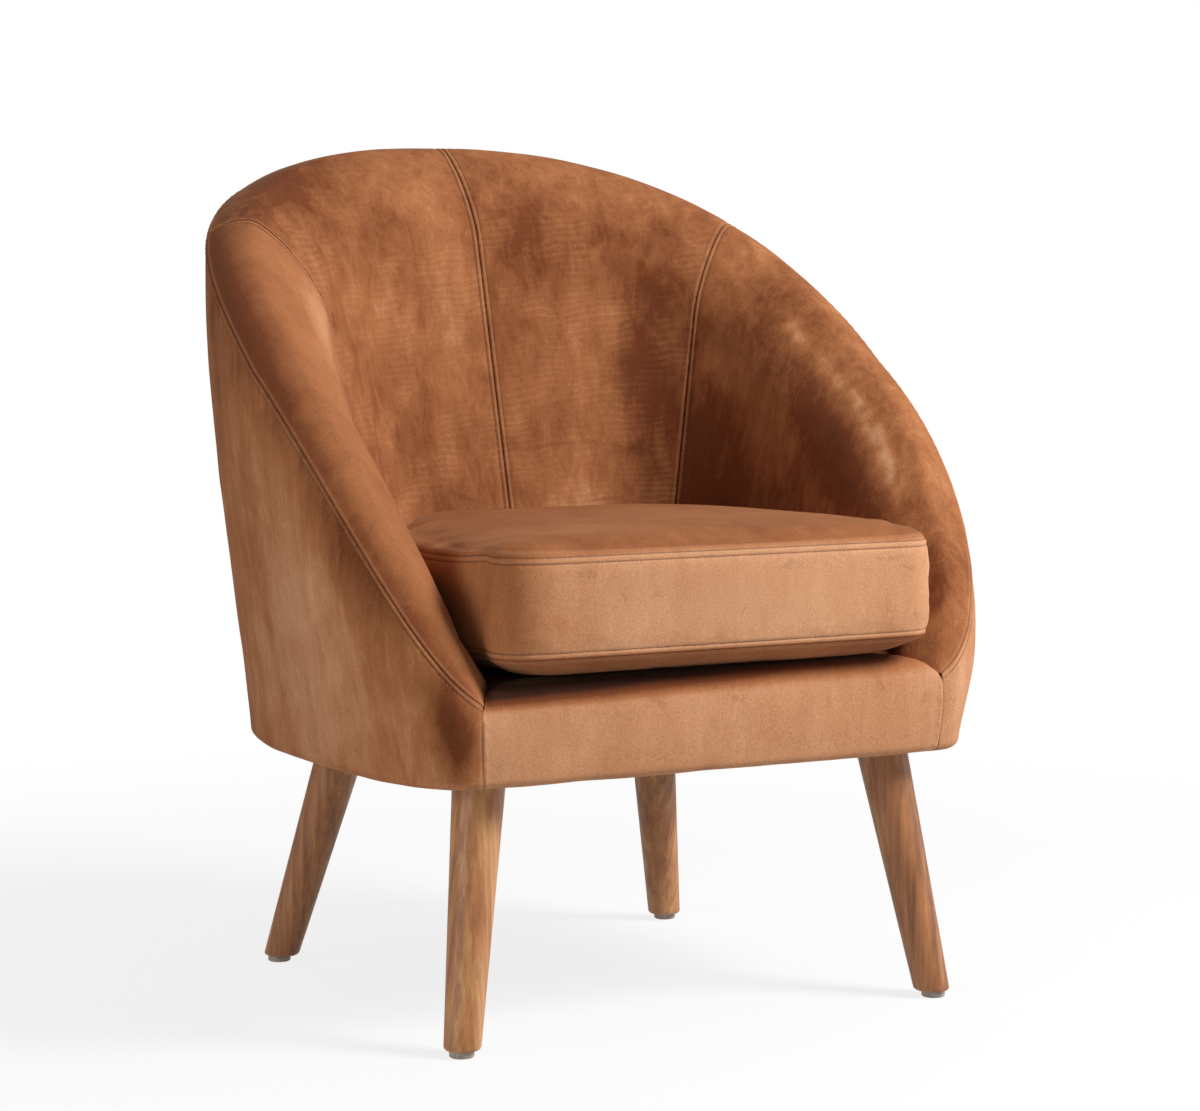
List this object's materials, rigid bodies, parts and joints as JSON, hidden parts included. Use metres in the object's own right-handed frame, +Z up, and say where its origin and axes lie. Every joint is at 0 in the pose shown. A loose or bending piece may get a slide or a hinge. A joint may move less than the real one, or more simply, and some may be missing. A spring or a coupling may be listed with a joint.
{
  "type": "upholstered tub chair",
  "caption": "Low tub chair with a wrap-around padded back and sloping arms, one loose boxed seat cushion and splayed tapered wooden legs.",
  "frame": {"origin": "on the floor, below the middle of the chair's bounding box", "axes": "+Z up, -Y towards the front of the seat, +X to the right as seen from the front; the chair is the same left and right about X = 0"},
  "size_m": [0.6806, 0.6163, 0.8036],
  "materials": {
    "velvet": "cognac brown velvet with a soft nap",
    "oak_stain": "brown stained oak, satin lacquer",
    "plywood": "raw birch plywood",
    "hardwood_block": "raw hardwood",
    "hardboard": "raw brown hardboard",
    "foam": "open-cell polyurethane foam, pale yellow",
    "grey_felt": "pressed grey felt and wadding",
    "elastic_webbing": "woven elastic webbing",
    "black_cloth": "black spunbond cloth and zip tape",
    "zinc_steel": "zinc plated",
    "glide_plastic": "taupe nylon"
  },
  "bodies": {
    "chair_frame": {"leg_front_left": "oak_stain", "leg_front_right": "oak_stain", "leg_back_left": "oak_stain", "leg_back_right": "oak_stain", "leg_plates": "zinc_steel", "plate_screws": "zinc_steel", "leg_bolts": "zinc_steel", "glide_front_left": "glide_plastic", "glide_front_right": "glide_plastic", "glide_back_left": "glide_plastic", "glide_back_right": "glide_plastic", "base_ring": "plywood", "corner_blocks": "hardwood_block", "deck_blocks": "hardwood_block", "deck_ring": "plywood", "front_rail_board": "plywood", "arm_posts_left": "plywood", "arm_posts_right": "plywood", "back_posts": "plywood", "arm_rail_left": "plywood", "arm_rail_right": "plywood", "back_top_rail": "plywood", "inner_liner": "hardboard", "outer_liner": "hardboard", "webbing_lengthwise": "elastic_webbing", "webbing_crosswise": "elastic_webbing", "webbing_staples": "zinc_steel", "deck_pad": "grey_felt", "deck_cover": "velvet", "front_rail_foam": "foam", "arm_tip_foam": "foam", "arm_foam_left": "foam", "arm_foam_right": "foam", "back_foam": "foam", "outside_wadding": "grey_felt", "outside_arm_left": "velvet", "outside_arm_right": "velvet", "outside_back": "velvet", "inside_arm_left": "velvet", "inside_arm_right": "velvet", "inside_back_left": "velvet", "inside_back_right": "velvet", "front_rail_cover": "velvet", "dust_cover": "black_cloth", "bottom_staples": "zinc_steel"},
    "seat_cushion": {"cushion_foam": "foam", "cushion_top_panel": "velvet", "cushion_bottom_panel": "velvet", "cushion_boxing": "velvet", "cushion_back_boxing": "velvet", "zip_tape": "black_cloth"},
    "zip_slider": {"zip_slider": "zinc_steel"}
  },
  "joints": [
    {"name": "cushion_lift", "type": "slide", "parent": "chair_frame", "child": "seat_cushion", "axis": [0, 0, 1], "range_m": [0, 0.3]},
    {"name": "zip_slide", "type": "slide", "parent": "seat_cushion", "child": "zip_slider", "axis": [-1, 0, 0], "range_m": [0, 0.178]}
  ]
}
